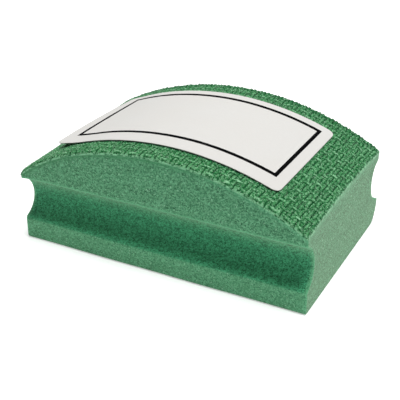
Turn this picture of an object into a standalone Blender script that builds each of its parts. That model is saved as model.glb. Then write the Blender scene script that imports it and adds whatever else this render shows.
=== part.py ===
"""Hand sanding pad: a foam block with a finger groove along each long side and a domed working face.

The dome carries a woven diamond cloth glued down on a bond film. A paper label is stuck on the
cloth. Its -X end has come away and stands off the dome in a straight run, longest at the -Y corner.
Metres, +Z up. The origin is the middle of the flat base, and +X runs along the block.
"""
import math

import bmesh
import bpy
from mathutils import Vector

# Foam block
BLOCK_LENGTH = 0.0890
BLOCK_WIDTH = 0.0570
LOWER_LIP = 0.0067  # foam under each groove's mouth
GROOVE_MOUTH = 0.0133  # height of the groove where it opens in the side
UPPER_LIP = 0.0018  # foam over the mouth, measured at the block's ends
GROOVE_DEPTH = 0.0048
CROWN_RISE = 0.01265  # the dome's middle above its ends
LIP_ROUND = 0.0006
BASE_ROUND = 0.0008

# Layers on the dome, from the foam outwards
BOND_THICKNESS = 0.00015
CLOTH_THICKNESS = 0.00060
COAT_THICKNESS = 0.00020
LAYER_GAP = 0.00005  # clearance between layers that touch on the real pad

# Label: its lengths are measured along the paper
LABEL_LENGTH = 0.0702
LABEL_WIDTH = 0.0418
LABEL_CORNER = 0.0022
LABEL_SHIFT_X = -0.0018
LABEL_SHIFT_Y = -0.0004
LABEL_FREE_NEAR = 0.0105  # loose length along the -Y edge
LABEL_FREE_FAR = 0.0070  # loose length along the +Y edge
ADHESIVE_THICKNESS = 0.00005
PAPER_THICKNESS = 0.00014

# Facets
DOME_FACETS = 48
GROOVE_FACETS = 18
ROUND_FACETS = 4
SMOOTH_ANGLE = math.radians(30)

# Derived from the sizes above
END_HEIGHT = LOWER_LIP + GROOVE_MOUTH + UPPER_LIP
GROOVE_AXIS_HEIGHT = LOWER_LIP + GROOVE_MOUTH / 2
GROOVE_RADIUS = ((GROOVE_MOUTH / 2) ** 2 + GROOVE_DEPTH**2) / (2 * GROOVE_DEPTH)
GROOVE_AXIS_OUT = GROOVE_RADIUS - GROOVE_DEPTH  # axis outside the side face
DOME_RADIUS = ((BLOCK_LENGTH / 2) ** 2 + CROWN_RISE**2) / (2 * CROWN_RISE)
DOME_AXIS_HEIGHT = END_HEIGHT + CROWN_RISE - DOME_RADIUS
BOND_RADIUS = DOME_RADIUS + LAYER_GAP
CLOTH_RADIUS = BOND_RADIUS + BOND_THICKNESS + LAYER_GAP
COAT_RADIUS = CLOTH_RADIUS + CLOTH_THICKNESS + LAYER_GAP
ADHESIVE_RADIUS = COAT_RADIUS + COAT_THICKNESS + LAYER_GAP
PAPER_RADIUS = ADHESIVE_RADIUS + ADHESIVE_THICKNESS + LAYER_GAP

ALONG_X = Vector((1, 0, 0))
ALONG_Y = Vector((0, 1, 0))
UPWARDS = Vector((0, 0, 1))


def clear_scene():
    """Start from an empty scene."""
    for old in list(bpy.data.objects):
        bpy.data.objects.remove(old, do_unlink=True)


def finish(name, colour, roughness):
    """One plain non-metallic surface."""
    material = bpy.data.materials.new(name)
    material.use_nodes = True
    shader = material.node_tree.nodes["Principled BSDF"]
    shader.inputs["Base Color"].default_value = (*colour, 1)
    shader.inputs["Roughness"].default_value = roughness
    shader.inputs["Metallic"].default_value = 0
    return material


def add_object(name, shape, material, parent):
    """Put a closed mesh into the scene under its own name."""
    bmesh.ops.recalc_face_normals(shape, faces=shape.faces)
    mesh = bpy.data.meshes.new(name)
    shape.to_mesh(mesh)
    shape.free()
    mesh.shade_smooth()
    mesh.set_sharp_from_angle(angle=SMOOTH_ANGLE)
    if material:
        mesh.materials.append(material)
    piece = bpy.data.objects.new(name, mesh)
    piece.parent = parent
    bpy.context.collection.objects.link(piece)
    return piece


def extrude_flat(shape, direction, length):
    """Draw the flat faces of a mesh out to one closed solid."""
    drawn = bmesh.ops.extrude_face_region(shape, geom=shape.faces[:])["geom"]
    corners = [item for item in drawn if isinstance(item, bmesh.types.BMVert)]
    bmesh.ops.translate(shape, verts=corners, vec=direction * length)


def arc(centre, radius, start, end, facets):
    """Points of an arc in a plane, with both ends."""
    angles = [start + (end - start) * step / facets for step in range(facets + 1)]
    return [(centre[0] + radius * math.cos(a), centre[1] + radius * math.sin(a)) for a in angles]


def foam_side():
    """The +Y half of the foam's cross-section as (y, z), from the base up to the upper lip."""
    side = BLOCK_WIDTH / 2
    axis_y = side + GROOVE_AXIS_OUT
    # Each lip's fillet touches the flat side and the groove's round wall.
    lip_y = side - LIP_ROUND
    lip_rise = math.sqrt((GROOVE_RADIUS + LIP_ROUND) ** 2 - (axis_y - lip_y) ** 2)
    low_lip = (lip_y, GROOVE_AXIS_HEIGHT - lip_rise)
    high_lip = (lip_y, GROOVE_AXIS_HEIGHT + lip_rise)
    wall = math.atan2(lip_rise, axis_y - lip_y)
    base_corner = (side - BASE_ROUND, BASE_ROUND)
    groove_axis = (axis_y, GROOVE_AXIS_HEIGHT)
    points = arc(base_corner, BASE_ROUND, -math.pi / 2, 0, ROUND_FACETS)
    points += arc(low_lip, LIP_ROUND, 0, wall, ROUND_FACETS)
    points += arc(groove_axis, GROOVE_RADIUS, math.pi + wall, math.pi - wall, GROOVE_FACETS)[1:-1]
    points += arc(high_lip, LIP_ROUND, -wall, 0, ROUND_FACETS)
    return points


def arched_plate(inner_radius, outer_radius, half_length, width):
    """A plate bent round the dome's axis, with its two ends cut upright."""
    shape = bmesh.new()
    bmesh.ops.create_grid(shape, x_segments=DOME_FACETS, y_segments=1, size=1)
    for corner in shape.verts:
        radius = outer_radius if corner.co.y > 0 else inner_radius
        angle = corner.co.x * math.asin(half_length / radius)
        height = DOME_AXIS_HEIGHT + radius * math.cos(angle)
        corner.co = (radius * math.sin(angle), -width / 2, height)
    extrude_flat(shape, ALONG_Y, width)
    return shape


def build_foam(parent):
    """Foam block: a grooved bar cut to length, with its top rounded over into the dome."""
    spare = CROWN_RISE / 2  # the bar over the finished crown, and the cutter past the bar
    half = foam_side() + [(BLOCK_WIDTH / 2, END_HEIGHT + CROWN_RISE + spare)]
    outline = half + [(-y, z) for y, z in reversed(half)]
    shape = bmesh.new()
    shape.faces.new([shape.verts.new((-BLOCK_LENGTH / 2, y, z)) for y, z in outline])
    extrude_flat(shape, ALONG_X, BLOCK_LENGTH)
    foam = add_object("foam_block", shape, finish("foam_green", (0.12, 0.28, 0.16), 0.95), parent)

    waste_top = DOME_RADIUS + CROWN_RISE + 2 * spare
    waste = arched_plate(DOME_RADIUS, waste_top, BLOCK_LENGTH / 2 + spare, BLOCK_WIDTH + 2 * spare)
    cutter = add_object("dome_cutter", waste, None, parent)
    cutter.hide_render = True
    cutter.display_type = "WIRE"
    dome_cut = foam.modifiers.new("dome_cut", "BOOLEAN")
    dome_cut.operation = "DIFFERENCE"
    dome_cut.solver = "EXACT"
    dome_cut.object = cutter


def build_layers(parent):
    """Bond film, woven backing and diamond coat, one over the other on the whole dome."""
    layers = (
        ("cloth_bond", BOND_RADIUS, BOND_THICKNESS, finish("bond_amber", (0.42, 0.36, 0.22), 0.5)),
        ("backing_cloth", CLOTH_RADIUS, CLOTH_THICKNESS, finish("cloth_green", (0.05, 0.17, 0.07), 0.9)),
        ("diamond_coat", COAT_RADIUS, COAT_THICKNESS, finish("coat_green", (0.08, 0.24, 0.11), 0.6)),
    )
    for name, radius, thickness, material in layers:
        shape = arched_plate(radius, radius + thickness, BLOCK_LENGTH / 2, BLOCK_WIDTH)
        add_object(name, shape, material, parent)


def label_stations():
    """Places along the label as (distance from its -X end, half width there)."""
    straight = LABEL_WIDTH / 2 - LABEL_CORNER
    corner = []
    for step in range(ROUND_FACETS + 1):
        turn = math.pi / 2 * step / ROUND_FACETS
        corner.append((LABEL_CORNER * (1 - math.cos(turn)), straight + LABEL_CORNER * math.sin(turn)))
    run = LABEL_LENGTH - 2 * LABEL_CORNER
    middle = [(LABEL_CORNER + run * step / DOME_FACETS, LABEL_WIDTH / 2) for step in range(1, DOME_FACETS)]
    return corner + middle + [(LABEL_LENGTH - place, half) for place, half in reversed(corner)]


def label_path(place, offset, radius):
    """Point (x, z) of a sheet at this radius: on the dome, or on its tangent along the loose end."""
    across = offset / LABEL_WIDTH + 0.5
    loose = LABEL_FREE_NEAR + (LABEL_FREE_FAR - LABEL_FREE_NEAR) * across
    along = place - LABEL_LENGTH / 2 + LABEL_SHIFT_X
    lift_off = loose - LABEL_LENGTH / 2 + LABEL_SHIFT_X
    angle = max(along, lift_off) / ADHESIVE_RADIUS
    free = min(along - lift_off, 0)
    x = radius * math.sin(angle) + free * math.cos(angle)
    z = DOME_AXIS_HEIGHT + radius * math.cos(angle) - free * math.sin(angle)
    return x, z


def label_sheet(inner_radius, outer_radius):
    """A thin sheet with rounded corners that follows the label's path."""
    stations = label_stations()
    last = len(stations) - 1
    shape = bmesh.new()
    bmesh.ops.create_grid(shape, x_segments=last, y_segments=1, size=1)
    extrude_flat(shape, UPWARDS, 1)
    for corner in shape.verts:
        place, half = stations[round((corner.co.x + 1) / 2 * last)]
        radius = outer_radius if corner.co.z > 0.5 else inner_radius
        offset = math.copysign(half, corner.co.y)
        x, z = label_path(place, offset, radius)
        corner.co = (x, LABEL_SHIFT_Y + offset, z)
    return shape


def build_label(parent):
    """Paper label and the adhesive on its back, which lifts off with it."""
    adhesive = finish("adhesive_clear", (0.62, 0.60, 0.54), 0.4)
    paper = finish("label_paper", (0.80, 0.79, 0.76), 0.6)
    sheets = (
        ("label_adhesive", ADHESIVE_RADIUS, ADHESIVE_THICKNESS, adhesive),
        ("label", PAPER_RADIUS, PAPER_THICKNESS, paper),
    )
    for name, radius, thickness, material in sheets:
        add_object(name, label_sheet(radius, radius + thickness), material, parent)


def main():
    clear_scene()
    pad = bpy.data.objects.new("sanding_pad", None)
    bpy.context.collection.objects.link(pad)
    build_foam(pad)
    build_layers(pad)
    build_label(pad)


main()
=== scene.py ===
import math
import random

import bmesh
import bpy
from mathutils import Euler, Matrix, Vector, noise


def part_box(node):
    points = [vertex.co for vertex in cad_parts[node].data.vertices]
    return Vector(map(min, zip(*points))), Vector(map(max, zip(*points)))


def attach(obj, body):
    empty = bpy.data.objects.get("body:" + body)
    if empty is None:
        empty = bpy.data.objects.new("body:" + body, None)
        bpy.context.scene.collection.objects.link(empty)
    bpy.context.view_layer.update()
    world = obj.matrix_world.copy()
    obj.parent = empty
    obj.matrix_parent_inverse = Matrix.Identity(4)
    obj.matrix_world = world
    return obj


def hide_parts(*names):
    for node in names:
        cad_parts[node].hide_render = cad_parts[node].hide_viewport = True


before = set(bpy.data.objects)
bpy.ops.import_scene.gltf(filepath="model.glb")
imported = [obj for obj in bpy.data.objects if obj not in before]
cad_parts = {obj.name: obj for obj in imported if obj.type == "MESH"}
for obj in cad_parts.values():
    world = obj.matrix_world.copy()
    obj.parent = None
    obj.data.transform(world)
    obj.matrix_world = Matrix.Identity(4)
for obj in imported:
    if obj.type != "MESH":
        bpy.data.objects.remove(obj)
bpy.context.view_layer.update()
bpy.ops.object.select_all(action="DESELECT")

# Foam block: the grip, a bun of fine-celled green foam. It is moulded with a finger groove along
# each long side, sawn to length, and rounded over lengthwise into the dome that carries the cloth.
foam_low, foam_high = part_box("foam_block")
half_length = (foam_high.x - foam_low.x) / 2
half_width = (foam_high.y - foam_low.y) / 2
crown_height = foam_high.z
end_height = 0.0218
crown_rise = crown_height - end_height
dome_radius = (half_length**2 + crown_rise**2) / (2 * crown_rise)
dome_axis = crown_height - dome_radius

# The soft pad isn't true: its right end leans in at the top, and its near left corner hangs.
lean_start = 0.0330
end_lean = 0.0010
lean_bow = 0.6
droop_start = 0.0250
left_droop = 0.0013
keep_to_top = 4
hand_cut = 0.00030
hand_cut_along = 40
hand_cut_up = 60
side_seed = 5

# The grooves, their lips and the lower edges. The far side is a little deeper and rounder.
near_groove_height = 0.01335
near_groove_radius = 0.0070
near_groove_depth = 0.0048
far_groove_height = 0.01365
far_groove_radius = 0.0066
far_groove_depth = 0.0056
far_bulge = 0.0008
far_bulge_height = 0.0062
far_bulge_reach = 0.0026
low_lip_height = 0.0067
high_lip_height = 0.0200
low_lip_softness = 0.0006
high_lip_softness = 0.0005
lip_reach = 0.0014
thin_lip = 0.0003
near_base_round = 0.0008
far_base_round = 0.0046
end_round = 0.0004

# Rows and columns of points in a cross-section, and sections along the block.
base_rows = 5
band_rows = 6
lip_rows = 8
groove_rows = 18
upper_rows = 14
edge_columns = (0.006, 0.015, 0.035)
middle_columns = 14
foam_stations = 110
end_facets = 3


def limited(value):
    """A value kept between 0 and 1."""
    return min(max(value, 0), 1)


def bell(distance, width):
    """1 at no distance, falling smoothly to nothing within a few widths."""
    return math.exp(-((distance / width) ** 2))


def ripple(along, across, seed):
    """Smooth noise between -1 and 1, another one for each seed."""
    return noise.noise(Vector((along, across, seed)))


def spread(low, high, count):
    """Even steps from low up to, but not including, high."""
    return [low + (high - low) * step / count for step in range(count)]


def arc_height(x):
    """Height of the dome's plain arc above the base."""
    return dome_axis + math.sqrt(dome_radius**2 - x**2)


def end_droop(x, y):
    """How far the left end hangs below the arc: most at the near corner, nothing at the far one."""
    towards_end = max((-x - droop_start) / (half_length - droop_start), 0)
    return left_droop * towards_end**2 * limited(0.5 - y / (2 * half_width))


def hang(z, top):
    """Share of the end's droop at one height: none at the groove's middle and all at the top."""
    return max((z - near_groove_height) / (top - near_groove_height), 0) ** keep_to_top


def dome_height(x, y):
    """Top of the foam above the base."""
    return arc_height(x) - end_droop(x, y)


def cut_back(x, y, z):
    """How far the saw cut of the right end leans in: most at the top, in the middle of the width."""
    towards_end = max((x - lean_start) / (half_length - lean_start), 0)
    towards_top = limited(z / end_height)
    return end_lean * (towards_end * towards_top) ** 2 * (1 - lean_bow * (y / half_width) ** 2)


def groove_cut(z, centre, radius, depth):
    """How far a finger groove goes into the side at one height, with soft lips."""
    rise = abs(z - centre)
    wall = math.sqrt(max(radius**2 - rise**2, 0)) - max(rise - radius, 0)
    cut = wall - radius + depth
    softness = high_lip_softness if z > centre else low_lip_softness
    return (cut + math.sqrt(cut**2 + softness**2)) / 2


def base_cut(z, radius):
    """How far the round of the lower edge goes in from the side."""
    below_round = max(radius - z, 0)
    return radius - math.sqrt(radius**2 - below_round**2)


def side_reach(x, z, side):
    """Half width of the foam at one place, for the near (-1) or the far (+1) side."""
    sway = hand_cut * ripple(hand_cut_along * x, hand_cut_up * z, seed=side_seed * side)
    if side < 0:
        cut = groove_cut(z, near_groove_height, near_groove_radius, near_groove_depth)
        return half_width + sway - cut - base_cut(z, near_base_round)
    cut = groove_cut(z, far_groove_height, far_groove_radius, far_groove_depth)
    bulge = far_bulge * bell(z - far_bulge_height, far_bulge_reach)
    return half_width + sway + bulge - cut - base_cut(z, far_base_round)


def foam_rows(x):
    """Heights at which the foam's cross-section has a row of points, before its end droops."""
    top = arc_height(x)
    lip_top = min(high_lip_height + lip_reach, top - thin_lip)
    rows = spread(0, near_base_round, base_rows)
    rows += spread(near_base_round, low_lip_height - lip_reach, band_rows)
    rows += spread(low_lip_height - lip_reach, low_lip_height + lip_reach, lip_rows)
    rows += spread(low_lip_height + lip_reach, high_lip_height - lip_reach, groove_rows)
    rows += spread(high_lip_height - lip_reach, lip_top, lip_rows)
    rows += spread(lip_top, top, upper_rows)
    return rows + [top]


def foam_section(x, inset):
    """Points of one cross-section, row by row from the base and each row from near to far."""
    edge = (0, *edge_columns)
    middle = spread(edge_columns[-1], 1 - edge_columns[-1], middle_columns)[1:]
    shares = [*edge, *middle, *[1 - share for share in reversed(edge)]]
    rows = foam_rows(x)
    section = []
    for z in rows:
        near = inset - side_reach(x, z, -1)
        far = side_reach(x, z, 1) - inset
        height = z + inset * (1 - z / rows[-1])
        row = [Vector((x, near + (far - near) * share, height)) for share in shares]
        for point in row:
            point.z -= end_droop(x, point.y) * hang(z, rows[-1])
        section.append(row)
    return section


run = half_length - end_round
end_steps = []
for step in range(1, end_facets + 1):
    turn = math.pi / 2 * step / end_facets
    inset = end_round * (1 - math.cos(turn))
    end_steps.append((half_length - end_round * (1 - math.sin(turn)), inset))
inner_steps = [(x, 0) for x in spread(-run, run, foam_stations)] + [(run, 0)]
stations = [(-x, inset) for x, inset in reversed(end_steps)] + inner_steps + end_steps

foam_shape = bmesh.new()
rings = []
for number, (x, inset) in enumerate(stations):
    section = foam_section(x, inset)
    is_cap = number in (0, len(stations) - 1)
    last_row = len(section) - 1
    last_column = len(section[0]) - 1
    corners = {}
    for i, row in enumerate(section):
        for j, point in enumerate(row):
            if is_cap or i in (0, last_row) or j in (0, last_column):
                corners[i, j] = foam_shape.verts.new(point)
    if is_cap:
        for i in range(last_row):
            for j in range(last_column):
                quad = corners[i, j], corners[i, j + 1], corners[i + 1, j + 1], corners[i + 1, j]
                foam_shape.faces.new(quad)
    ring = [corners[i, 0] for i in range(last_row + 1)]
    ring += [corners[last_row, j] for j in range(1, last_column)]
    ring += [corners[i, last_column] for i in range(last_row, -1, -1)]
    ring += [corners[0, j] for j in range(last_column - 1, 0, -1)]
    rings.append(ring)
for ring, next_ring in zip(rings, rings[1:]):
    for j in range(len(ring)):
        foam_shape.faces.new((ring[j - 1], ring[j], next_ring[j], next_ring[j - 1]))
bmesh.ops.recalc_face_normals(foam_shape, faces=foam_shape.faces)
foam_mesh = bpy.data.meshes.new("foam_pad")
foam_shape.to_mesh(foam_mesh)
foam_shape.free()

# Cut edges are painted paler, as painted highlight where broken cells catch the light, and the band
# under the groove a little paler, as painted light from the floor. The grooves are painted darker, as
# shade in the recess. The end faces are sawn, and tinted greyer partly as painted sheen. A painted
# shadow lies in a line under the cloth, except towards the right. Each point of the foam holds its
# share of these for the material.
rim_depth = 0.0012
narrow_highlight = 0.0005
wide_highlight = 0.0006
lip_highlight_share = 0.8
edge_highlight_strength = 0.4
band_light_share = 0.14
under_cloth_shadow_strength = 0.8
under_cloth_shadow_width = 0.0007
right_end_from = 0.0300
groove_margin = 0.0010
groove_fade = 0.0060
groove_edge = 0.0004
cap_tolerance = 0.00001


def on_cap(point):
    """Whether a point lies on the flat face of either end."""
    return abs(point.x) > half_length - cap_tolerance


def on_side(point):
    """Whether a point lies on a long side, beside its groove."""
    return abs(point.y) > half_width - rim_depth


def right_end_share(x):
    """1 at the right end of a side, where no painted shadow lies, and 0 on its left half."""
    return limited(x / right_end_from)


def edge_highlight_share(point):
    """Painted light: 1 on a cut edge, a little on the band under the groove, and 0 elsewhere."""
    lip = high_lip_height - end_droop(point.x, point.y) * hang(high_lip_height, arc_height(point.x))
    lip_highlight = on_side(point) * lip_highlight_share * bell(point.z - lip, narrow_highlight)
    end_highlight = bell(half_length - abs(point.x), narrow_highlight)
    if on_cap(point):
        to_side = side_reach(point.x, point.z, math.copysign(1, point.y)) - abs(point.y)
        end_highlight *= bell(to_side, wide_highlight)
    top_highlight = bell(dome_height(point.x, point.y) - point.z, wide_highlight)
    if on_side(point):
        top_highlight *= right_end_share(point.x)
    lower_band_light = on_side(point) * band_light_share * (point.z < low_lip_height)
    return max(lip_highlight, edge_highlight_strength * end_highlight, edge_highlight_strength * top_highlight, lower_band_light)


def groove_shade_share(point):
    """Painted shade: 1 inside a finger groove, which is painted darker, and 0 on the sawn faces."""
    at_end = abs(point.x) > half_length - end_round
    inside = abs(point.y) < half_width - far_groove_depth - groove_margin
    if at_end or inside or point.z > high_lip_height:
        return 0
    from_top = min((high_lip_height - point.z) / groove_fade, 1)
    from_lip = limited((point.z - low_lip_height) / groove_edge + 1)
    return from_top * from_lip


def under_cloth_shadow_share(point):
    """How much painted shadow lies on a side, just under the cloth."""
    under_cloth = bell(dome_height(point.x, point.y) - point.z, under_cloth_shadow_width)
    return on_side(point) * under_cloth_shadow_strength * under_cloth * (1 - right_end_share(point.x))


def write_shares(mesh, name, shares):
    """Keep a share for each point of a mesh, for its material to read."""
    attribute = mesh.attributes.new(name, "FLOAT", "POINT")
    attribute.data.foreach_set("value", shares)


# The rim share is painted highlight on the cut edges and painted light on the band under the groove.
write_shares(foam_mesh, "rim", [edge_highlight_share(vertex.co) for vertex in foam_mesh.vertices])
# The groove share paints the grooves darker, as shade in the recess.
write_shares(foam_mesh, "groove", [groove_shade_share(vertex.co) for vertex in foam_mesh.vertices])
# A painted shadow in a line under the cloth's edge.
write_shares(foam_mesh, "under_cloth_shadow", [under_cloth_shadow_share(vertex.co) for vertex in foam_mesh.vertices])
# The sawn share tints the end faces greyer, partly for the sawn cells and partly as painted sheen.
write_shares(foam_mesh, "sawn", [on_cap(vertex.co) for vertex in foam_mesh.vertices])
for vertex in foam_mesh.vertices:
    x, y, z = vertex.co
    leaned = x - cut_back(x, y, z)
    rise = arc_height(leaned) - arc_height(x)
    vertex.co = (leaned, y, z + rise * (z / arc_height(x)) ** keep_to_top)
foam_mesh.shade_smooth()
foam = bpy.data.objects.new("foam_pad", foam_mesh)
bpy.context.collection.objects.link(foam)

foam_colour = (0.092, 0.369, 0.180)
foam_dark = (0.018, 0.132, 0.054)
foam_light = (0.210, 0.610, 0.330)
# Colour of the painted highlight on the edges and of the painted light on the lower band.
foam_highlight = (0.170, 0.600, 0.310)
groove_shade_dark = (0.008, 0.122, 0.048)
groove_shade_light = (0.085, 0.490, 0.240)
speck_colour = (0.340, 0.680, 0.440)
# Colour of the painted shadow under the cloth's edge.
under_cloth_shadow_colour = (0.047, 0.262, 0.099)
sawn_and_sheen_tint = (1.00, 0.88, 0.90)
dusty_sheen = (0.96, 0.95, 0.80, 1)
cells_per_metre = 3300
mottles_per_metre = 900
mottle_range = (0.4, 1.0)
speck_range = (0.980, 0.995)


def new_material(name):
    """A node material: its tree, the inputs of its shader and the piece's own coordinates."""
    material = bpy.data.materials.new(name)
    material.use_nodes = True
    tree = material.node_tree
    place = tree.nodes.new("ShaderNodeTexCoord").outputs["Object"]
    return material, tree, tree.nodes["Principled BSDF"].inputs, place


def mesh_share(tree, name):
    """A share from 0 to 1 that the mesh holds at its points."""
    attribute = tree.nodes.new("ShaderNodeAttribute")
    attribute.attribute_name = name
    return attribute.outputs["Fac"]


def cloud_share(tree, place, clouds_per_metre, detail=2):
    """A cloudy share from 0 to 1."""
    texture = tree.nodes.new("ShaderNodeTexNoise")
    texture.inputs["Scale"].default_value = clouds_per_metre
    texture.inputs["Detail"].default_value = detail
    tree.links.new(place, texture.inputs["Vector"])
    return texture.outputs["Fac"]


def stretched(tree, share, low, high):
    """A share stretched so that low gives 0 and high gives 1."""
    stretch = tree.nodes.new("ShaderNodeMapRange")
    stretch.inputs["From Min"].default_value = low
    stretch.inputs["From Max"].default_value = high
    tree.links.new(share, stretch.inputs["Value"])
    return stretch.outputs["Result"]


def combined(tree, operation, first, second):
    """Two shares made into one, such as their product or the greater of them."""
    both = tree.nodes.new("ShaderNodeMath")
    both.operation = operation
    tree.links.new(first, both.inputs[0])
    tree.links.new(second, both.inputs[1])
    return both.outputs[0]


def blended(tree, share, first, second, how="MIX"):
    """Two colours mixed by a share from 0 to 1; a colour is a value or a socket."""
    mix = tree.nodes.new("ShaderNodeMix")
    mix.data_type = "RGBA"
    mix.blend_type = how
    tree.links.new(share, mix.inputs["Factor"])
    # A mix node has sockets for every kind of value: inputs 6 and 7 and output 2 are its colours.
    for socket, colour in ((mix.inputs[6], first), (mix.inputs[7], second)):
        if isinstance(colour, tuple):
            socket.default_value = (*colour, 1)
        else:
            tree.links.new(colour, socket)
    return mix.outputs[2]


def add_relief(tree, surface, height, strength, depth):
    """Fine bumps on a surface, from a share taken as their height."""
    relief = tree.nodes.new("ShaderNodeBump")
    relief.inputs["Strength"].default_value = strength
    relief.inputs["Distance"].default_value = depth
    tree.links.new(height, relief.inputs["Height"])
    tree.links.new(relief.outputs["Normal"], surface["Normal"])


foam_finish, tree, surface, place = new_material("green_foam")
cells = tree.nodes.new("ShaderNodeTexVoronoi")
cells.inputs["Scale"].default_value = cells_per_metre
tree.links.new(place, cells.inputs["Vector"])
cell_tones = tree.nodes.new("ShaderNodeSeparateColor")
tree.links.new(cells.outputs["Color"], cell_tones.inputs["Color"])
cellular = blended(tree, cell_tones.outputs["Red"], foam_dark, foam_light)
mottle = stretched(tree, cloud_share(tree, place, mottles_per_metre), *mottle_range)
mottled = blended(tree, mottle, cellular, foam_colour)
specks = stretched(tree, cell_tones.outputs["Blue"], *speck_range)
specked = blended(tree, specks, mottled, speck_colour)
# Darker copies of the foam's colours, painted into the grooves as shade.
groove_shade_tone = blended(tree, cell_tones.outputs["Red"], groove_shade_dark, groove_shade_light)
groove_shaded = blended(tree, mesh_share(tree, "groove"), specked, groove_shade_tone)
# Painted highlight on the cut edges and painted light on the band under the groove.
highlighted = blended(tree, mesh_share(tree, "rim"), groove_shaded, foam_highlight)
# Painted shadow in a line under the cloth's edge, left off towards the right.
under_cloth_shaded = blended(tree, mesh_share(tree, "under_cloth_shadow"), highlighted, under_cloth_shadow_colour)
# End faces tinted greyer, partly for the sawn cells and partly as painted sheen.
tinted = blended(tree, mesh_share(tree, "sawn"), under_cloth_shaded, sawn_and_sheen_tint, how="MULTIPLY")
tree.links.new(tinted, surface["Base Color"])
add_relief(tree, surface, cells.outputs["Distance"], strength=0.6, depth=0.00015)
surface["Roughness"].default_value = 0.85
surface["Specular IOR Level"].default_value = 0.2
surface["Sheen Weight"].default_value = 0.30
surface["Sheen Roughness"].default_value = 0.5
surface["Sheen Tint"].default_value = dusty_sheen
foam_mesh.materials.append(foam_finish)
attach(foam, "root")
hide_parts("foam_block")

# Bond film: the laminating adhesive between foam and cloth, rolled on thin and cured. Only its cut
# edge shows, as a fine line under the cloth.
bond_height = -0.00003
bond_thickness = 0.00023
bond_dark = (0.100, 0.400, 0.180)
bond_light = (0.160, 0.500, 0.260)
streaks_per_metre = 700
edge_run = 0.0018
near_press = 0.60
end_press = 0.15
cut_fibre = 0.0003
sheet_columns = 160
sheet_rows = 100
crease_angle = math.radians(30)
half_arc = dome_radius * math.asin(half_length / dome_radius)


def on_dome(s, y, height):
    """A point of a flat layer laid on the dome, flush with the foam: s runs along the foam's top.

    Cutting has pressed the layers down a little along the near side and the ends.
    """
    near_share = max(1 - (half_width + y) / edge_run, 0) ** 2
    end_share = max(1 - (half_arc - abs(s)) / edge_run, 0) ** 2
    radius = dome_radius + height * (1 - max(near_press * near_share, end_press * end_share))
    angle = s / half_arc * math.asin(half_length / radius)
    angle -= cut_back(radius * math.sin(angle), y, end_height) / (radius * math.cos(angle))
    x = radius * math.sin(angle)
    foam_edge = side_reach(x, dome_height(x, y), math.copysign(1, y))
    z = dome_axis + radius * math.cos(angle) - end_droop(x, y)
    return Vector((x, y * foam_edge / half_width, z))


def mark_border(mesh):
    """Write 1 where a flat layer is cut at its ends and near side, and 0 further in."""
    borders = [min(half_arc - abs(vertex.co.x), half_width + vertex.co.y) for vertex in mesh.vertices]
    write_shares(mesh, "cut", [limited(1 - border / cut_fibre) for border in borders])


def thicken(sheet, thickness):
    """Build a flat sheet up to its thickness, with its second material on the cut edge."""
    wall = sheet.modifiers.new("thickness", "SOLIDIFY")
    wall.thickness = thickness
    wall.offset = 1
    wall.material_offset_rim = 1
    bpy.ops.object.modifier_apply(modifier="thickness")


def dome_sheet(name, height, thickness, face, rim):
    """A closed sheet over the whole dome, with one material on its faces and one on its cut edge."""
    bpy.ops.object.select_all(action="DESELECT")
    bpy.ops.mesh.primitive_grid_add(x_subdivisions=sheet_columns, y_subdivisions=sheet_rows, size=1)
    bpy.ops.transform.resize(value=(2 * half_arc, 2 * half_width, 1))
    bpy.ops.object.transform_apply(location=False, rotation=False, scale=True)
    sheet = bpy.context.object
    sheet.name = name
    sheet.data.name = name
    sheet.data.materials.append(face)
    sheet.data.materials.append(rim)
    thicken(sheet, thickness)
    mark_border(sheet.data)
    for vertex in sheet.data.vertices:
        vertex.co = on_dome(vertex.co.x, vertex.co.y, height + vertex.co.z)
    bpy.ops.object.shade_smooth_by_angle(angle=crease_angle)
    return sheet


bond_finish, tree, surface, place = new_material("cured_bond")
streaks = cloud_share(tree, place, streaks_per_metre)
tree.links.new(blended(tree, streaks, bond_dark, bond_light), surface["Base Color"])
surface["Roughness"].default_value = 0.55
bond = dome_sheet("bond_film", bond_height, bond_thickness, bond_finish, bond_finish)
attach(bond, "root")
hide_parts("cloth_bond")

# Abrasive cloth: a coarse weave of coated strands, with dark green binder filling its gaps. Thick warp
# strands run along the block, over and under pairs of weft strands that run across it. It is woven
# flat, stretched over the dome on the bond film and cut flush with the foam.
warp_pitch = 0.00261
weft_pitch = 0.00115
warp_width = 0.00115
weft_width = 0.00100
strand_thickness = 0.00050
strand_swing = 0.00025
weft_dip = 5
warp_dip = 3
cloth_middle = 0.00073
ground_height = 0.00018
ground_thickness = 0.00072
strand_points = 10
steps_per_crossing = 4
weld_distance = 0.000001
pair_pitch = 2 * weft_pitch
weft_count = int(2 * half_arc / weft_pitch)
warp_count = int(2 * half_width / warp_pitch) + 1
first_weft = -weft_pitch * (weft_count - 1) / 2
first_pair = first_weft + weft_pitch / 2
first_warp = -warp_pitch * (warp_count - 1) / 2

# Unevenness of the weave. The strands are painted darker along the far side, as shade.
pair_spread = 0.00007
spread_uneven = 0.9
spread_ripples = 300
strand_wander = 0.00013
wander_ripples = 150
strand_seed = 7
pair_seed = 5
strand_uneven = 0.18
uneven_ripples = 400
most_cut_short = 0.00022
least_cut_short = 0.00002
far_shade_run = 0.0024
far_shade_share = 0.6
chance = random.Random(31)


def weave_wave(turns, dip):
    """Height of a strand: 1 over a crossing and -1 under the next, for a short way if dip is high."""
    under = (1 - math.cos(math.pi * turns)) / 2
    return 1 - 2 * under**dip


def weft_lift(pair, y):
    """Height of a pair of weft strands against the cloth's middle."""
    return strand_swing * weave_wave((y - first_warp) / warp_pitch + pair, weft_dip)


def warp_lift(row, s):
    """Height of a warp strand against the cloth's middle."""
    return strand_swing * weave_wave((s - first_pair) / pair_pitch + row + 1, warp_dip)


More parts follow.
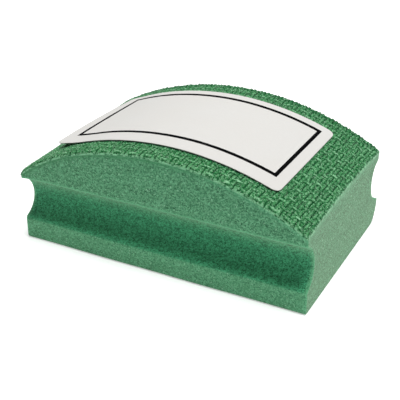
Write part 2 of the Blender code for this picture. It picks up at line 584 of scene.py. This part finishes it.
def strands_to_mesh(name, width, lines):
    """Sweep an oval strand along each flat line and lay the result on the dome."""
    oval = bpy.data.curves.new("oval", "CURVE")
    ring = oval.splines.new("POLY")
    ring.points.add(strand_points - 1)
    ring.use_cyclic_u = True
    for step, point in enumerate(ring.points):
        turn = 2 * math.pi * step / strand_points
        point.co = (width / 2 * math.cos(turn), strand_thickness / 2 * math.sin(turn), 0, 1)
    profile = bpy.data.objects.new("oval", oval)
    bpy.context.collection.objects.link(profile)
    curve = bpy.data.curves.new(name, "CURVE")
    curve.dimensions = "3D"
    curve.twist_mode = "Z_UP"
    curve.bevel_mode = "OBJECT"
    curve.bevel_object = profile
    curve.use_fill_caps = True
    for line in lines:
        spline = curve.splines.new("POLY")
        spline.points.add(len(line) - 1)
        for point, (s, y, z) in zip(spline.points, line):
            point.co = (s, y, z, 1)
            point.radius = 1 + strand_uneven * ripple(s * uneven_ripples, y * uneven_ripples, seed=4)
    strands = bpy.data.objects.new(name, curve)
    bpy.context.collection.objects.link(strands)
    bpy.ops.object.select_all(action="DESELECT")
    strands.select_set(True)
    bpy.context.view_layer.objects.active = strands
    bpy.ops.object.convert(target="MESH")
    bpy.data.objects.remove(profile)
    mesh = strands.data
    lowest = cloth_middle - strand_swing - strand_thickness / 2
    full = 2 * strand_swing + strand_thickness
    # The strands are painted darker towards the far side, as shade.
    crowns = []
    for vertex in mesh.vertices:
        far_shade = max(1 - (half_width - vertex.co.y) / far_shade_run, 0)
        crowns.append((vertex.co.z - lowest) / full * (1 - far_shade_share * far_shade))
    write_shares(mesh, "crown", crowns)
    mark_border(mesh)
    for vertex in mesh.vertices:
        vertex.co = on_dome(*vertex.co)
    bpy.ops.object.mode_set(mode="EDIT")
    bpy.ops.mesh.select_all(action="SELECT")
    bpy.ops.mesh.remove_doubles(threshold=weld_distance)
    bpy.ops.mesh.normals_make_consistent(inside=False)
    bpy.ops.object.mode_set(mode="OBJECT")
    bpy.ops.object.shade_smooth()
    return strands


weft_lines = []
for number in range(weft_count):
    pair = number // 2
    side = 2 * (number % 2) - 1
    ends = half_width + chance.uniform(-most_cut_short, -least_cut_short)
    steps = round(2 * ends / (warp_pitch / steps_per_crossing))
    line = []
    for step in range(steps + 1):
        y = -ends + 2 * ends * step / steps
        lift = weft_lift(pair, y)
        drift = strand_wander * ripple(strand_seed * number, wander_ripples * y, seed=1)
        uneven = spread_uneven * ripple(pair_seed * pair, spread_ripples * y, seed=6)
        opening = pair_spread * (1 + uneven)
        s = first_weft + number * weft_pitch + side * opening * lift / strand_swing + drift
        line.append((s, y, cloth_middle + lift))
    weft_lines.append(line)
wefts = strands_to_mesh("weft_strands", weft_width, weft_lines)

warp_lines = []
for row in range(warp_count):
    ends = half_arc + chance.uniform(-most_cut_short, -least_cut_short)
    steps = round(2 * ends / (pair_pitch / steps_per_crossing))
    line = []
    for step in range(steps + 1):
        s = -ends + 2 * ends * step / steps
        drift = strand_wander * ripple(wander_ripples * s, strand_seed * row, seed=2)
        line.append((s, first_warp + row * warp_pitch + drift, cloth_middle + warp_lift(row, s)))
    warp_lines.append(line)
warps = strands_to_mesh("warp_strands", warp_width, warp_lines)

# The darkest colour is painted shade where strands dive, and the grit's dark too; the pale colours are
# abraded coat and painted highlight.
dive_shade_and_grit_colour = (0.009, 0.100, 0.030)
weft_colour = (0.064, 0.263, 0.098)
weft_worn_and_highlight = (0.244, 0.548, 0.295)
weft_crest = (0.95, 1.04)
warp_colour = (0.070, 0.281, 0.108)
warp_worn_and_highlight = (0.284, 0.592, 0.340)
warp_crest = (0.93, 1.00)
cut_colour = (0.260, 0.600, 0.340)
dive_shade_range = (0.60, 0.95)
worn_and_highlight_patches_per_metre = 600
worn_and_highlight_range = (0.36, 0.56)
grit_per_metre = 1900
grit_range = (0.36, 0.56)
flecks_per_metre = 2150
fleck_range = (0.59, 0.68)


def strand_material(name, colour, worn_and_highlight, crest):
    """Coated strands: painted shade where they dive, pale where the coat is abraded on top and as
    painted highlight, with gritty relief.
    """
    material, tree, surface, place = new_material(name)
    height = mesh_share(tree, "crown")
    grit = cloud_share(tree, place, grit_per_metre)
    # Painted shade where the strand dives low.
    shaded = blended(tree, stretched(tree, height, *dive_shade_range), dive_shade_and_grit_colour, colour)
    patches = stretched(tree, cloud_share(tree, place, worn_and_highlight_patches_per_metre), *worn_and_highlight_range)
    # Pale crowns: abraded coat and painted highlight.
    worn_and_highlit_crowns = combined(tree, "MULTIPLY", stretched(tree, height, *crest), patches)
    rubbed_and_highlit = blended(tree, worn_and_highlit_crowns, shaded, worn_and_highlight)
    gritty = blended(tree, stretched(tree, grit, *grit_range), dive_shade_and_grit_colour, rubbed_and_highlit)
    # Pale flecks: abraded coat and painted glints.
    flecks = stretched(tree, cloud_share(tree, place, flecks_per_metre, detail=1), *fleck_range)
    flecked = blended(tree, flecks, gritty, worn_and_highlight)
    frayed = blended(tree, mesh_share(tree, "cut"), flecked, cut_colour)
    tree.links.new(frayed, surface["Base Color"])
    add_relief(tree, surface, grit, strength=0.7, depth=0.00008)
    surface["Roughness"].default_value = 0.65
    surface["Specular IOR Level"].default_value = 0.02
    return material


wefts.data.materials.append(strand_material("coated_weft", weft_colour, weft_worn_and_highlight, weft_crest))
warps.data.materials.append(strand_material("coated_warp", warp_colour, warp_worn_and_highlight, warp_crest))

binder_dark = (0.008, 0.075, 0.024)
binder_light = (0.024, 0.125, 0.046)
pools_per_metre = 900
tufts_per_metre = 1000
fray_range = (0.43, 0.56)
edge_dark = (0.040, 0.235, 0.095)
edge_light = (0.230, 0.600, 0.330)
edge_range = (0.41, 0.57)
ground_finish, tree, surface, place = new_material("dark_binder")
binder = blended(tree, cloud_share(tree, place, pools_per_metre), binder_dark, binder_light)
tufts = stretched(tree, cloud_share(tree, place, tufts_per_metre), *fray_range)
frayed = combined(tree, "MULTIPLY", mesh_share(tree, "cut"), tufts)
tree.links.new(blended(tree, frayed, binder, cut_colour), surface["Base Color"])
surface["Roughness"].default_value = 0.7
surface["Specular IOR Level"].default_value = 0.02
edge_finish, tree, surface, place = new_material("cut_cloth_edge")
strand_ends = stretched(tree, cloud_share(tree, place, tufts_per_metre), *edge_range)
tree.links.new(blended(tree, strand_ends, edge_dark, edge_light), surface["Base Color"])
surface["Roughness"].default_value = 0.85
surface["Sheen Weight"].default_value = 0.30
surface["Sheen Tint"].default_value = dusty_sheen
ground = dome_sheet("cloth_ground", ground_height, ground_thickness, ground_finish, edge_finish)
for piece in (ground, wefts, warps):
    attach(piece, "root")
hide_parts("backing_cloth")

# Label adhesive and paper: a die-cut paper label with pressure-sensitive adhesive on its back. It is
# rolled down on the cloth, and its left end has sprung away, most at the near corner.
paper_low, paper_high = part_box("label")
label_middle = (paper_low.y + paper_high.y) / 2
half_label = (paper_high.y - paper_low.y) / 2
label_length = 0.0702
label_shift = -0.0018
label_corner = 0.0022
label_free_near = 0.0105
label_free_far = 0.0045
label_free_bow = 3
label_curl = 0.0007
adhesive_height = 0.00108
adhesive_thickness = 0.00036
adhesive_loose_share = 0.15
peel_run = 0.0010
paper_gap = 0.00002
paper_height = adhesive_height + adhesive_thickness + paper_gap
paper_thickness = 0.00014
paper_wave = 0.00003
paper_ripples = 90
label_columns = 128
label_rows = 48
end_crowding = 0.2
label_radius = dome_radius + adhesive_height


def lift_off(y):
    """Where along the label its loose end begins."""
    across = (y - label_middle) / (2 * half_label) + 0.5
    loose = label_free_near + (label_free_far - label_free_near) * max(across, 0) ** label_free_bow
    return loose - label_length / 2 + label_shift


def on_label(s, y, height):
    """A point of the flat label on its place: on the dome, or along its tangent on the loose end."""
    angle = max(s, lift_off(y)) / label_radius
    free = min(s - lift_off(y), 0)
    radius = dome_radius + height + paper_wave * ripple(paper_ripples * s, paper_ripples * y, seed=3)
    radius += label_curl * (free / label_free_near) ** 2
    x = radius * math.sin(angle) + free * math.cos(angle)
    return Vector((x, y, dome_axis + radius * math.cos(angle) - free * math.sin(angle)))


def label_sheet(name, height, thickness, loose_share, face, rim):
    """A closed sheet with the label's rounded outline, which can be thinner on the loose end."""
    bpy.ops.object.select_all(action="DESELECT")
    bpy.ops.mesh.primitive_grid_add(x_subdivisions=label_columns, y_subdivisions=label_rows, size=1)
    sheet = bpy.context.object
    sheet.name = name
    sheet.data.name = name
    sheet.data.uv_layers.active.name = "label_uv"
    half_run = label_length / 2
    for vertex in sheet.data.vertices:
        # Columns close up at the ends, so that the corner arcs have points to follow.
        share = vertex.co.x + 0.5
        along = half_run * (2 * share - 1 - end_crowding * math.sin(2 * math.pi * share))
        beyond = min(max(label_corner - half_run + abs(along), 0), label_corner)
        half = half_label - label_corner + math.sqrt(label_corner**2 - beyond**2)
        vertex.co = (along + label_shift, label_middle + 2 * half * vertex.co.y, 0)
    sheet.data.materials.append(face)
    sheet.data.materials.append(rim)
    thicken(sheet, thickness)
    for vertex in sheet.data.vertices:
        s, y, z = vertex.co
        looseness = limited((lift_off(y) - s) / peel_run)
        depth = (thickness - z) * (1 + (loose_share - 1) * looseness)
        vertex.co = on_label(s, y, height + thickness - depth)
    bpy.ops.object.shade_smooth_by_angle(angle=crease_angle)
    return sheet


adhesive_dark = (0.50, 0.50, 0.46)
adhesive_light = (0.68, 0.67, 0.62)
drags_per_metre = 350
# The adhesive's cut edge is painted near black, as the shadow under the label's edge.
edge_shadow_dark = (0.010, 0.030, 0.016)
edge_shadow_light = (0.030, 0.070, 0.040)
edge_shadow_per_metre = 900
adhesive_finish, tree, surface, place = new_material("clear_adhesive")
drags = cloud_share(tree, place, drags_per_metre, detail=3)
tree.links.new(blended(tree, drags, adhesive_dark, adhesive_light), surface["Base Color"])
surface["Roughness"].default_value = 0.35
# Painted shadow on the adhesive's cut edge.
edge_shadow_finish, tree, surface, place = new_material("adhesive_edge_painted_shadow")
edge_shadow_tone = cloud_share(tree, place, edge_shadow_per_metre)
tree.links.new(blended(tree, edge_shadow_tone, edge_shadow_dark, edge_shadow_light), surface["Base Color"])
surface["Roughness"].default_value = 0.8
adhesive = label_sheet(
    "label_adhesive_film",
    adhesive_height,
    adhesive_thickness,
    adhesive_loose_share,
    adhesive_finish,
    edge_shadow_finish,
)
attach(adhesive, "root")
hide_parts("label_adhesive")

# The strands' coat is painted darker along the label's near edge, as the shadow under that edge.
label_shadow_run = 0.0011
label_shadow_share = 0.75
for strands in (wefts, warps):
    crowns = strands.data.attributes["crown"].data
    for vertex in strands.data.vertices:
        s = label_radius * math.asin(vertex.co.x / label_radius)
        if abs(s - label_shift) < label_length / 2 - label_corner:
            label_shadow = max(1 - abs(vertex.co.y - label_middle + half_label) / label_shadow_run, 0)
            crowns[vertex.index].value *= 1 - label_shadow_share * label_shadow

paper_dark = (0.650, 0.643, 0.620)
paper_light = (0.695, 0.688, 0.665)
paper_aged = (0.664, 0.648, 0.616)
fibres_per_metre = 1600
stains_per_metre = 60
stain_range = (0.3, 1.0)
paper_finish, tree, surface, place = new_material("label_paper")
fibres = cloud_share(tree, place, fibres_per_metre, detail=3)
paper_tone = blended(tree, fibres, paper_dark, paper_light)
stains = stretched(tree, cloud_share(tree, place, stains_per_metre), *stain_range)
tree.links.new(blended(tree, stains, paper_tone, paper_aged), surface["Base Color"])
surface["Roughness"].default_value = 0.8
surface["Specular IOR Level"].default_value = 0.15
label = label_sheet("label_paper", paper_height, paper_thickness, 1, paper_finish, paper_finish)
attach(label, "root")
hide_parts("label")

# Label print: a plain frame line of black ink, printed on the paper before the label is cut out. It
# is a film far thinner than the paper, made flat and then laid on the label so that it bends with it.
print_left = -0.0334
print_right = 0.0301
print_near = -0.0156
print_far = 0.0176
print_length = print_right - print_left
print_width = print_far - print_near
frame_line = 0.0014
end_line = 0.0011
ink_gap = 0.000006
ink_height = paper_height + paper_thickness + ink_gap
ink_thickness = 0.000012
ink_cuts = 90
ink_dark = (0.0010, 0.0010, 0.0012)
ink_light = (0.0040, 0.0040, 0.0044)
ink_clouds_per_metre = 1500
print_middle = ((print_left + print_right) / 2, (print_near + print_far) / 2, 0)
bpy.ops.object.select_all(action="DESELECT")
bpy.ops.mesh.primitive_plane_add(size=1, location=print_middle)
bpy.ops.transform.resize(value=(print_length, print_width, 1))
bpy.ops.object.transform_apply(location=True, rotation=False, scale=True)
ink = bpy.context.object
ink.name = "label_print"
ink.data.name = "label_print"
bpy.ops.object.mode_set(mode="EDIT")
bpy.ops.mesh.select_mode(type="FACE")
bpy.ops.mesh.select_all(action="SELECT")
bpy.ops.mesh.inset(thickness=frame_line)
lengthened = (print_length - 2 * end_line) / (print_length - 2 * frame_line)
bpy.ops.transform.resize(value=(lengthened, 1, 1))
bpy.ops.mesh.delete(type="FACE")
bpy.ops.mesh.select_mode(type="EDGE")
bpy.ops.mesh.select_all(action="DESELECT")
bpy.ops.object.mode_set(mode="OBJECT")
for edge in ink.data.edges:
    first, last = (ink.data.vertices[number].co for number in edge.vertices)
    is_mitre = min(abs(first.x - last.x), abs(first.y - last.y)) > frame_line / 2
    edge.select = not is_mitre
bpy.ops.object.mode_set(mode="EDIT")
bpy.ops.mesh.subdivide(number_cuts=ink_cuts)
bpy.ops.object.mode_set(mode="OBJECT")
thicken(ink, ink_thickness)
for vertex in ink.data.vertices:
    vertex.co = on_label(vertex.co.x, vertex.co.y, ink_height + vertex.co.z)
ink_finish, tree, surface, place = new_material("black_ink")
coverage = cloud_share(tree, place, ink_clouds_per_metre)
tree.links.new(blended(tree, coverage, ink_dark, ink_light), surface["Base Color"])
surface["Roughness"].default_value = 0.9
surface["Specular IOR Level"].default_value = 0.02
ink.data.materials.append(ink_finish)
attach(ink, "root")

# Diamond coat: grit bonded on the crowns of the strands. Each grain is a chipped octahedron sunk part
# of the way into the binder, scattered over the cloth and left off where the label covers it.
grain_size = 0.00026
smallest_grain = 0.6
largest_grain = 1.2
grain_count = 9000
grain_chips = 0.12
grain_stand = 0.05
grit_dark = (0.010, 0.105, 0.030)
grit_light = (0.240, 0.510, 0.290)
grit_tints_per_metre = 2600
grit_tint_range = (0.40, 0.60)
bpy.ops.object.select_all(action="DESELECT")
bpy.ops.mesh.primitive_uv_sphere_add(segments=4, ring_count=2, radius=0.5)
grain = bpy.context.object
bpy.ops.object.mode_set(mode="EDIT")
bpy.ops.mesh.select_all(action="SELECT")
bpy.ops.transform.vertex_random(offset=grain_chips, seed=5)
bpy.ops.object.mode_set(mode="OBJECT")
grain_points = [vertex.co.copy() for vertex in grain.data.vertices]
grain_faces = [tuple(face.vertices) for face in grain.data.polygons]
bpy.data.objects.remove(grain)


def strand_top(s, y):
    """Height of the uppermost strand at one place on the flat cloth, or None in a gap."""
    heights = []
    row = round((y - first_warp) / warp_pitch)
    off = abs(y - first_warp - row * warp_pitch) / (warp_width / 2)
    if off < 1:
        heights.append(warp_lift(row, s) + strand_thickness / 2 * math.sqrt(1 - off**2))
    number = round((s - first_weft) / weft_pitch)
    off = abs(s - first_weft - number * weft_pitch) / (weft_width / 2)
    if off < 1:
        heights.append(weft_lift(number // 2, y) + strand_thickness / 2 * math.sqrt(1 - off**2))
    return cloth_middle + max(heights) if heights else None


coat_points = []
coat_faces = []
while len(coat_points) < grain_count * len(grain_points):
    s = chance.uniform(-half_arc, half_arc)
    y = chance.uniform(-half_width, half_width)
    top = strand_top(s, y)
    covered = abs(s - label_shift) < label_length / 2 and abs(y - label_middle) < half_label
    if top is None or covered:
        continue
    size = grain_size * chance.uniform(smallest_grain, largest_grain)
    turn = Euler([chance.uniform(0, math.pi) for axis in range(3)]).to_matrix()
    start = len(coat_points)
    centre = on_dome(s, y, top + grain_stand * size)
    coat_points += [centre + turn @ (size * point) for point in grain_points]
    coat_faces += [tuple(start + corner for corner in face) for face in grain_faces]
coat_mesh = bpy.data.meshes.new("diamond_grains")
coat_mesh.from_pydata(coat_points, [], coat_faces)
coat = bpy.data.objects.new("diamond_grains", coat_mesh)
bpy.context.collection.objects.link(coat)
coat_finish, tree, surface, place = new_material("diamond_grit")
tints = stretched(tree, cloud_share(tree, place, grit_tints_per_metre, detail=1), *grit_tint_range)
tree.links.new(blended(tree, tints, grit_dark, grit_light), surface["Base Color"])
surface["Roughness"].default_value = 0.35
coat_mesh.materials.append(coat_finish)
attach(coat, "root")
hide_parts("diamond_coat")

# Studio: a plain white floor and backdrop, a soft key from above, a weak fill from the right, and the
# camera at the photograph's place.
floor_size = 6
light_target = Vector((0, 0, 0.02))
view_azimuth = math.radians(28.09)
view_elevation = math.radians(28.01)
view_roll = math.radians(-0.59)
view_place = Vector((0.10716, -0.20291, 0.13164))
view_lens = 78.29


def background_rays(tree):
    """1 for the rays that should see a plain white background, and 0 for those that carry light."""
    path = tree.nodes.new("ShaderNodeLightPath").outputs
    mirrored = combined(tree, "MAXIMUM", path["Is Glossy Ray"], path["Is Transmission Ray"])
    return combined(tree, "MAXIMUM", path["Is Camera Ray"], mirrored)


bpy.ops.object.select_all(action="DESELECT")
bpy.ops.mesh.primitive_plane_add(size=floor_size, location=(0, 0, 0))
floor = bpy.context.object
floor.name = "floor"
floor_finish, tree, surface, place = new_material("white_floor")
surface["Base Color"].default_value = (0.93, 0.93, 0.93, 1)
surface["Roughness"].default_value = 1.0
surface["Specular IOR Level"].default_value = 0.0
surface["Emission Color"].default_value = (1, 1, 1, 1)
distance = tree.nodes.new("ShaderNodeVectorMath")
distance.operation = "LENGTH"
tree.links.new(place, distance.inputs[0])
whiteness = tree.nodes.new("ShaderNodeMapRange")
whiteness.inputs["From Min"].default_value = 0.25
whiteness.inputs["From Max"].default_value = 1.00
whiteness.inputs["To Min"].default_value = 0.40
whiteness.inputs["To Max"].default_value = 1.00
tree.links.new(distance.outputs["Value"], whiteness.inputs["Value"])
glow = combined(tree, "MULTIPLY", background_rays(tree), whiteness.outputs["Result"])
tree.links.new(glow, surface["Emission Strength"])
floor.data.materials.append(floor_finish)

world = bpy.data.worlds.new("studio")
bpy.context.scene.world = world
world.use_nodes = True
tree = world.node_tree
sky = tree.nodes["Background"].inputs
sky["Color"].default_value = (1, 1, 1, 1)
backdrop = tree.nodes.new("ShaderNodeMapRange")
backdrop.inputs["To Min"].default_value = 0.20
backdrop.inputs["To Max"].default_value = 1.00
tree.links.new(background_rays(tree), backdrop.inputs["Value"])
tree.links.new(backdrop.outputs["Result"], sky["Strength"])


def soft_light(name, place, size, power, colour):
    """A square area light aimed at the block."""
    lamp = bpy.data.lights.new(name, "AREA")
    lamp.shape = "SQUARE"
    lamp.size = size
    lamp.energy = power
    lamp.color = colour
    holder = bpy.data.objects.new(name, lamp)
    holder.location = place
    holder.rotation_euler = (light_target - Vector(place)).to_track_quat("-Z", "Y").to_euler()
    bpy.context.collection.objects.link(holder)


soft_light("key", place=(0.10, 0.025, 0.88), size=0.40, power=7.6, colour=(1, 1, 1))
soft_light("fill", place=(0.95, -0.05, 0.28), size=0.40, power=0.72, colour=(1, 0.93, 0.94))

camera_data = bpy.data.cameras.new("camera")
camera_data.sensor_width = 36
camera_data.lens = view_lens
camera_data.clip_start = 0.005
camera = bpy.data.objects.new("camera", camera_data)
bpy.context.collection.objects.link(camera)
turn = Matrix.Rotation(view_azimuth, 4, "Z") @ Matrix.Rotation(math.pi / 2 - view_elevation, 4, "X")
camera.matrix_world = Matrix.Translation(view_place) @ turn @ Matrix.Rotation(view_roll, 4, "Z")
bpy.context.scene.camera = camera
bpy.context.scene.view_settings.view_transform = "Standard"
